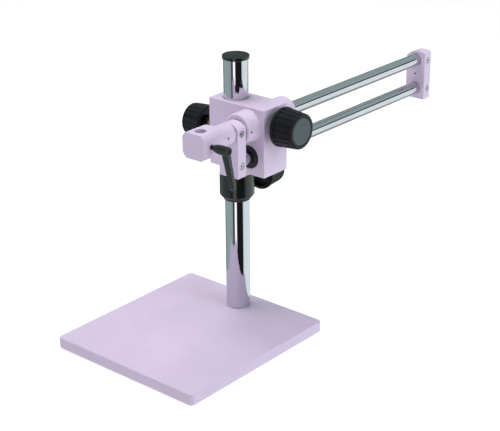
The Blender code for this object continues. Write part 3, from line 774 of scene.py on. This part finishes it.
def make_bushes():
    """Bronze bushes of the upper rod, seals of the lower one, and the split sleeve."""
    running = ROD_RADIUS + CLEARANCE
    for name in ("front_bush", "rear_bush"):
        low, high = (Vector(v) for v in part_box(name))
        start = Vector((UPPER.x, low.y, UPPER.z))
        length = high.y - low.y
        ring = soften([(running, 0, 0.5 * MM), (BUSH_RADIUS, 0, 0.5 * MM),
                       (BUSH_RADIUS, length, 0.5 * MM), (running, length, 0.5 * MM)])
        turned(f"{name}_ring", ring, "bronze", "crosshead_body", [name], Y, start)
    for name, way in (("front_seal", -Y), ("rear_seal", Y)):
        centre, size = middle(name), extent(name)
        start = centre - way * size.y / 2
        lip = soften([(running, 0), (SEAL_RADIUS, 0), (SEAL_RADIUS, size.y, 0.5 * MM),
                      (13.2 * MM, size.y, 0.4 * MM), (12.6 * MM, size.y - 0.7 * MM, 0.3 * MM),
                      (11.4 * MM, size.y - 0.7 * MM, 0.3 * MM), (10.6 * MM, size.y, 0.35 * MM),
                      (running, size.y - 0.4 * MM, 0.2 * MM)], 4)
        turned(f"{name}_ring", lip, "seal_rubber", "crosshead_body", [name], way, start)
    make_sleeve()
    grub_screw("grub_screw_of_bush", "crosshead_body", "bush_grub_screw",
               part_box("bush_grub_screw")[1][0], 6 * MM)


def make_sleeve():
    """Sleeve between crosshead and column, with a slit at the rear."""
    low, high = (Vector(v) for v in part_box("column_sleeve"))
    inner, outer = COLUMN_RADIUS + CLEARANCE, (high.x - low.x) / 2
    tube = spin(soften([(inner, low.z, 0.4 * MM), (outer, low.z, 0.4 * MM),
                        (outer, high.z, 0.4 * MM), (inner, high.z, 0.4 * MM)], 3), SIDES)
    slit = bmesh.new()
    bmesh.ops.create_cube(slit, size=1.0)
    place = Matrix.Translation((0, 18.5 * MM, middle("column_sleeve").z))
    size = Matrix.Diagonal((2 * MM, 8 * MM, 200 * MM, 1))
    bmesh.ops.transform(slit, verts=slit.verts, matrix=place @ size)
    piece("sleeve", carve(tube, slit), "nylon", "sleeve", ["column_sleeve"],
          Matrix.Translation(COLUMN_FOOT))


# ---------------------------------------------------------------- boom

PLATE_EDGE = 0.5 * MM
ROD_FIT = 0.25 * MM         # gap round a rod in a plate
ROD_SOCKET = 12.8 * MM      # depth of a rod's blind hole in a plate


def make_rods():
    """Two ground and chromed rods."""
    for name, node in (("boom_rod_upper", "upper_rod"), ("boom_rod_lower", "lower_rod")):
        low, high = (Vector(v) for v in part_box(node))
        centre = middle(node)
        length = high.y - low.y
        profile = soften([(0, 0), (ROD_RADIUS, 0, 0.9 * MM), (ROD_RADIUS, length, 0.9 * MM),
                          (0, length)])
        turned(name, profile, "chrome", "boom", [node], Y, Vector((centre.x, low.y, centre.z)))


def make_plate(name, node, screws, rod_side, crown_radius, lean):
    """End plate with a crowned top.

    rod_side is the direction of the rods, and lean the crown's shift along X.
    """
    low, high = (Vector(v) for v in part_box(node))
    half = (high.x - low.x) / 2

    def crown_height(x):
        return high.z - crown_radius + math.sqrt(crown_radius ** 2 - (x - lean) ** 2)

    crown = [(x, crown_height(x)) for x in (half * (1 - k / 8) for k in range(1, 16))]
    outline = soften([(-half, low.z, 0.8 * MM), (half, low.z, 0.8 * MM),
                      (half, crown_height(half), 0.55 * MM), *crown,
                      (-half, crown_height(-half), 0.55 * MM)])
    depth = high.y - low.y
    place = Matrix.Translation((UPPER.x, high.y, 0)) @ Matrix.Rotation(math.pi / 2, 4, "X")
    plate = slab(outline, depth, PLATE_EDGE, place, 4)
    holes = bmesh.new()
    face = high.y if rod_side.y > 0 else low.y
    for rod in (UPPER, LOWER):
        through = node == "front_plate" and rod is UPPER
        start = Vector((rod.x, face, rod.z))
        if through:
            hole(holes, ROD_RADIUS + ROD_FIT, 0, depth, -rod_side, start, 0.5 * MM)
        else:
            hole(holes, ROD_RADIUS + ROD_FIT, -PAST, ROD_SOCKET, -rod_side, start)
    tapped = Vector((UPPER.x, face, (UPPER.z + LOWER.z) / 2))
    hole(holes, 1.6 * MM, -PAST, 9 * MM, -rod_side, tapped, 0, COARSE)
    for level, rod in (("upper", UPPER), ("lower", LOWER)):
        seat = Vector((high.x, (low.y + high.y) / 2, rod.z))
        counterbore = [(0, -5.4 * MM), (5.0 * MM, -5.4 * MM), (5.0 * MM, -0.05 * MM),
                       (5.3 * MM, 0.25 * MM), (0, 0.25 * MM)]
        spin(counterbore, SMALL_SIDES, None, holes, along(X, seat))
        hole(holes, 3.2 * MM, -9 * MM, -5 * MM, X, seat, 0, FINE)
        socket_screw(f"{screws}_{level}_cap_screw", "boom", f"{screws}_{level}", X,
                     seat - X * 0.75 * MM, head=4.3 * MM, length=4.4 * MM, shank=3 * MM,
                     reach=6.6 * MM, key=1.9 * MM)
    piece(name, carve(plate, holes), "lilac_paint", "boom", [node])


# ---------------------------------------------------------------- head

BAR_RADIUS = 22.4 * MM
FLAT_SIDE = 19.6 * MM
FLAT_TOP = 18.2 * MM
HEAD_EDGE = 0.5 * MM
NECK_END_RADIUS = 15.4 * MM
NECK_ROOT = 17.3 * MM
NECK_EDGE = 1 * MM
BLOCK_LENGTH = 39.5 * MM
SHOULDER = 1.2 * MM         # half of the length over which the block turns into the neck
PIN_RADIUS = 8 * MM
CLAMP_HOLE = 3.7 * MM
HEAD_SIDES = 192


def soft_least(values, width):
    """Least of some values, with its corners rounded."""
    result = values[0]
    for value in values[1:]:
        overlap = max(width - abs(result - value), 0) / width
        result = min(result, value) - overlap * overlap * width / 4
    return result


def head_radius(distance, length):
    """Turned radius of the head at a distance from its front face."""
    if distance < BLOCK_LENGTH - SHOULDER:
        return BAR_RADIUS
    t = min(1, (distance - BLOCK_LENGTH + SHOULDER) / (2 * SHOULDER))
    shoulder = BAR_RADIUS + (NECK_ROOT - BAR_RADIUS) * (t * t * (3 - 2 * t))
    s = max(0, min(1, (distance - BLOCK_LENGTH) / (0.62 * (length - BLOCK_LENGTH))))
    return shoulder + (NECK_END_RADIUS - NECK_ROOT) * math.sin(s * math.pi / 2)


def make_head():
    """Head block: flats on a turned bar, necked down to the rod, with the pin's bore."""
    low, high = (Vector(v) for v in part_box("head_block"))
    length = high.y - low.y
    neck = length - BLOCK_LENGTH - SHOULDER - NECK_EDGE
    stations = [HEAD_EDGE * (1 - math.cos(math.pi / 2 * k / 5)) for k in range(6)]
    stations += [6 * MM, 15 * MM, 25 * MM, BLOCK_LENGTH - 3 * MM]
    stations += [BLOCK_LENGTH - SHOULDER + 2 * SHOULDER * k / 8 for k in range(9)]
    stations += [BLOCK_LENGTH + SHOULDER + neck * k / 12 for k in range(1, 13)]
    stations += [length - NECK_EDGE + NECK_EDGE * math.sin(math.pi / 2 * k / 4)
                 for k in range(1, 5)]
    bm = bmesh.new()
    rings = []
    for distance in stations:
        into = max(0.0, 1 - distance / HEAD_EDGE)
        out = min(1.0, max(0.0, 1 - (length - distance) / NECK_EDGE))
        inset = (HEAD_EDGE * (1 - math.sqrt(1 - into * into))
                 + NECK_EDGE * (1 - math.sqrt(1 - out * out)))
        ring = []
        for k in range(HEAD_SIDES):
            angle = 2 * math.pi * k / HEAD_SIDES
            c, s = abs(math.cos(angle)), abs(math.sin(angle))
            radius = soft_least([head_radius(distance, length), FLAT_SIDE / max(c, 0.1),
                                 FLAT_TOP / max(s, 0.1)], 0.6 * MM) - inset
            ring.append(bm.verts.new((UPPER.x + radius * math.cos(angle), low.y + distance,
                                      UPPER.z + radius * math.sin(angle))))
        rings.append(ring)
    join_rings(bm, rings)
    piece("head", carve(bm, head_holes(low, high)), "lilac_paint", "head", ["head_block"], sharp=40)
    grub_screw("grub_screw_of_head", "head", "head_grub_screw",
               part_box("head_grub_screw")[1][0], 4.6 * MM)


def head_holes(low, high):
    """Pin bore, rod bore, and the holes of the clamp stud and the grub screw."""
    holes = bmesh.new()
    pin = middle("clamp_pad")
    hole(holes, PIN_RADIUS, low.z, high.z, Z, Vector((UPPER.x, pin.y, 0)), 0.3 * MM)
    rod_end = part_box("upper_rod")[0][1] - CLEARANCE
    hole(holes, ROD_RADIUS + CLEARANCE, rod_end, high.y + PAST, Y, Vector((UPPER.x, 0, UPPER.z)))
    hole(holes, CLAMP_HOLE, 0, 30 * MM, X, Vector((UPPER.x, pin.y, UPPER.z)), 0, FINE)
    grub = middle("head_grub_screw")
    hole(holes, GRUB_HOLE, 0, 30 * MM, X, Vector((UPPER.x, grub.y, UPPER.z)), 0, COARSE)
    return holes


ARM_LENGTH = 60 * MM
ARM_TILT = math.radians(12)
ARM_POINTS = 40             # points round the arm's section
CLAMP_RADIUS = 3 * MM
CLAMP_PITCH = 1 * MM


def make_lever():
    """Clamp lever: stepped hub and tapered arm fused into one moulding, with its steel parts.

    Heights run along X from the middle of the pin bore.
    """
    axis_point = Vector((UPPER.x, middle("clamp_pad").y, UPPER.z))
    place = along(X, axis_point)
    hub = [(0, 24.2), (4.3, 24.2, 0.3), (4.3, 26.0, 0.2), (5.2, 26.3, 0.3), (5.2, 28.8, 0.2),
           (5.9, 29.1, 0.3), (5.9, 32.3, 0.2), (6.5, 32.8, 0.4), (6.5, 49.4, 0.6), (0, 49.4)]
    hub = [tuple(value * MM for value in point) for point in hub]
    body = spin(soften(hub, 4), SMALL_SIDES, None, bmesh.new(), place)
    add_arm(body, axis_point)
    body = melt(body, 0.32 * MM, 3)
    bore = bmesh.new()
    hole(bore, 4.25 * MM, 28.4 * MM, 60 * MM, X, axis_point, 0, SMALL_SIDES)
    hole(bore, 3.3 * MM, 10 * MM, 30 * MM, X, axis_point, 0, SMALL_SIDES)
    mouth = [(0, 48.8 * MM), (4.3 * MM, 48.8 * MM), (5.2 * MM, 49.8 * MM), (0, 49.8 * MM)]
    spin(mouth, SMALL_SIDES, None, bore, place)
    piece("lever", carve(body, bore), "lever_plastic", "lever", ["clamp_lever"])
    make_clamp_stud(axis_point)
    socket_screw("screw_of_lever", "lever", "lever_screw", X, axis_point + X * 48.7 * MM,
                 head=3.9 * MM, length=4.0 * MM, shank=2 * MM, reach=17 * MM, key=1.9 * MM,
                 slot="black_steel")


def make_clamp_stud(axis_point):
    """Threaded stud of the lever, with its plain end in the hub."""
    rows = thread_rows(CLAMP_RADIUS, 11.8 * MM, 28.3 * MM, CLAMP_PITCH)
    stud = [(0, 11.3 * MM), (2.5 * MM, 11.3 * MM), *rows, (2.999 * MM, 28.8 * MM),
            (3.9 * MM, 28.8 * MM), (3.9 * MM, 36 * MM), (0, 36 * MM)]
    screw = thread_shape(CLAMP_RADIUS, CLAMP_PITCH / 2, CLAMP_PITCH)

    def shape(angle, radius, height):
        return screw(angle, radius, height) if 11.6 * MM < height < 28.5 * MM else radius

    turned("stud_of_lever", stud, "black_steel", "lever", ["clamp_stud"], X, axis_point,
           FINE, shape)


def add_arm(bm, axis_point):
    """Tapered arm of rounded section with a flat outer face."""
    turn = Matrix.Rotation(ARM_TILT, 3, "X")
    down, across = turn @ -Z, turn @ Y
    rings = []
    stations = [k / 18 for k in range(15)] + [0.84, 0.9, 0.94, 0.97, 0.99, 1.0]
    for t in stations:
        near = (38.4 + 2.9 * t) * MM
        far = (48.9 + 0.1 * t) * MM
        half = (4.3 - 1.1 * min(1, 1.4 * t)) * MM
        end = max(0.0, (t - 0.93) / 0.07)
        shrunk = math.sqrt(max(0.03, 1 - end * end))
        middle_x, thick = (near + far) / 2, (far - near) / 2 * (0.55 + 0.45 * shrunk)
        centre = axis_point + down * (ARM_LENGTH * t)
        ring = []
        for k in range(ARM_POINTS):
            angle = 2 * math.pi * k / ARM_POINTS
            c, s = math.cos(angle), math.sin(angle)
            a = math.copysign(abs(c) ** 0.3, c) * thick
            b = math.copysign(abs(s) ** 0.3, s) * half * shrunk
            ring.append(bm.verts.new(centre + X * (middle_x + a) + across * b))
        rings.append(ring)
    join_rings(bm, rings)


# ---------------------------------------------------------------- stage

def make_stage():
    """Pale floor and soft studio light."""
    bpy.ops.mesh.primitive_plane_add(size=16, location=(0, 0, -0.3 * MM))
    floor = bpy.context.object
    floor.name = "floor"
    box = Paintbox("floor", (0.36, 0.36, 0.363), 0.9, Emission_Color=(1, 1, 1, 1),
                   Emission_Strength=0.78)
    box.tint(box.noise(3, 2), (0.3, (0.355, 0.355, 0.358)), (0.7, (0.365, 0.365, 0.368)))
    floor.data.materials.append(box.material)
    floor.visible_glossy = False
    make_world()
    for name, azimuth, elevation, distance, size, power, colour in (
            ("top", -75, 71, 1.9, 1.5, 36, (1.0, 0.96, 0.95)),
            ("side", 95, 28, 2.0, 1.3, 16, (0.90, 0.975, 1.0))):
        add_light(name, azimuth, elevation, distance, size, power, colour)


def add_light(name, azimuth, elevation, distance, size, power, colour):
    """Square soft box that faces the crosshead; azimuth 0 is in front and 90 on the right."""
    a, e = math.radians(azimuth), math.radians(elevation)
    target = COLUMN_FOOT + Z * 0.2
    back = Vector((math.sin(a) * math.cos(e), -math.cos(a) * math.cos(e), math.sin(e)))
    light = bpy.data.lights.new(name, "AREA")
    light.size = size
    light.energy = power
    light.color = colour
    obj = bpy.data.objects.new(name, light)
    obj.location = target + back * distance
    obj.visible_glossy = False
    obj.rotation_mode = "QUATERNION"
    obj.rotation_quaternion = (-back).to_track_quat("-Z", "Y")
    bpy.context.scene.collection.objects.link(obj)


def make_world():
    """Even pale light, and for glossy surfaces a studio with lighter and darker sides.

    Below the horizon the studio changes with the compass direction and above it with the
    height; far below it is plain grey.
    """
    world = bpy.data.worlds.new("studio")
    bpy.context.scene.world = world
    world.use_nodes = True
    tree = world.node_tree
    tree.nodes.clear()

    def node(kind, **values):
        made = tree.nodes.new("ShaderNode" + kind)
        for key, value in values.items():
            setattr(made, key, value)
        return made

    def ramp(factor, stops):
        made = node("ValToRGB")
        elements = made.color_ramp.elements
        while len(elements) < len(stops):
            elements.new(0.5)
        for element, (place, colour) in zip(elements, stops):
            element.position = place
            element.color = (*colour, 1)
        tree.links.new(factor, made.inputs[0])
        return made.outputs[0]

    def span(value, low, high):
        made = node("MapRange")
        made.inputs["From Min"].default_value = low
        made.inputs["From Max"].default_value = high
        tree.links.new(value, made.inputs["Value"])
        return made.outputs[0]

    def mix(factor, first, second):
        made = node("MixRGB")
        for source, socket in zip((factor, first, second), made.inputs):
            if isinstance(source, tuple):
                socket.default_value = (*source, 1)
            else:
                tree.links.new(source, socket)
        return made.outputs[0]

    parts = node("SeparateXYZ")
    tree.links.new(node("TexCoord").outputs["Generated"], parts.inputs[0])
    height = parts.outputs[2]
    around = node("Math", operation="ARCTAN2")
    tree.links.new(parts.outputs[1], around.inputs[0])
    tree.links.new(parts.outputs[0], around.inputs[1])
    teal, pale, blue = (0.32, 0.412, 0.402), (1.03, 1.14, 1.12), (0.88, 1.02, 1.07)
    white, grey = (1.6, 1.6, 1.6), (0.43, 0.44, 0.45)
    dark, line = (0.017, 0.014, 0.014), (0.043, 0.05, 0.05)
    low_side = ramp(span(around.outputs[0], -math.pi, math.pi), around_stops(
        (-180, line), (-150, line), (-140, teal), (-70, shade(teal, 1.25)), (-44, teal),
        (-41, line), (-27, line), (-24, white), (-8, white), (-4, dark), (52, dark), (58, blue),
        (75, pale), (140, pale), (150, shade(blue, 0.7))))
    high_side = ramp(span(height, -1, 1), (
        (0.5, pale), (0.57, pale), (0.59, line), (0.672, line), (0.69, shade(teal, 1.3)),
        (0.9, teal), (1.0, pale)))
    both = mix(span(height, -0.02, 0.06), low_side, high_side)
    all_round = mix(span(height, -0.52, -0.6), both, grey)
    mirror, soft = node("Background"), node("Background")
    tree.links.new(all_round, mirror.inputs[0])
    soft.inputs[0].default_value = (0.78, 0.92, 1.04, 1)
    soft.inputs[1].default_value = 0.28
    backdrop = node("Background")
    backdrop.inputs[0].default_value = (1, 1, 1, 1)
    path = node("LightPath")
    light = backdrop.outputs[0]
    for ray, source in (("Is Diffuse Ray", soft), ("Is Glossy Ray", mirror)):
        share = node("MixShader")
        tree.links.new(path.outputs[ray], share.inputs[0])
        tree.links.new(light, share.inputs[1])
        tree.links.new(source.outputs[0], share.inputs[2])
        light = share.outputs[0]
    tree.links.new(light, node("OutputWorld").inputs[0])


def around_stops(*stops):
    """Ramp stops, in order, from (degrees, colour) stops round the photograph's direction."""
    ahead = math.degrees(AZIMUTH) - 90
    return sorted((((degrees + ahead + 180) / 360) % 1, colour) for degrees, colour in stops)


def make_camera():
    """Camera at the photograph's place."""
    back = Vector((math.sin(AZIMUTH) * math.cos(ELEVATION),
                   -math.cos(AZIMUTH) * math.cos(ELEVATION), math.sin(ELEVATION)))
    right = Vector((math.cos(AZIMUTH), math.sin(AZIMUTH), 0))
    up = back.cross(right)
    across = right * math.cos(ROLL) + up * math.sin(ROLL)
    above = up * math.cos(ROLL) - right * math.sin(ROLL)
    data = bpy.data.cameras.new("camera")
    data.lens = LENS
    data.sensor_width = 36
    data.clip_end = 50
    camera = bpy.data.objects.new("camera", data)
    place = Matrix((across, above, back)).transposed().to_4x4()
    aim = Vector((COLUMN.x, COLUMN.y, AIM_HEIGHT))
    place.translation = aim + back * DISTANCE + across * AIM_RIGHT + above * AIM_UP
    camera.matrix_world = place
    bpy.context.scene.collection.objects.link(camera)
    bpy.context.scene.camera = camera


def finish_cad_nodes():
    """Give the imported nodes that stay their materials."""
    slots = {row["node"]: row["material_slot"] for row in frame["record"]["subparts"]}
    for name, obj in frame["nodes"].items():
        for material_slot in obj.material_slots:
            material_slot.material = FINISH[slots[name]]


make_camera()
make_stage()
finish_cad_nodes()
make_base()
make_column()
make_collar()
make_lock("collar", Y, "collar_screw")
make_lock("column", -X, "column_screw")
make_lock("boom", X, "boom_screw")
make_crosshead()
make_bushes()
make_rods()
make_plate("boom_front_plate", "front_plate", "front_clamp_screw", Y, 24 * MM, 0)
make_plate("boom_rear_plate", "rear_plate", "rear_clamp_screw", -Y, 28 * MM, 5 * MM)
make_head()
make_lever()

bpy.context.scene.view_settings.view_transform = "Standard"
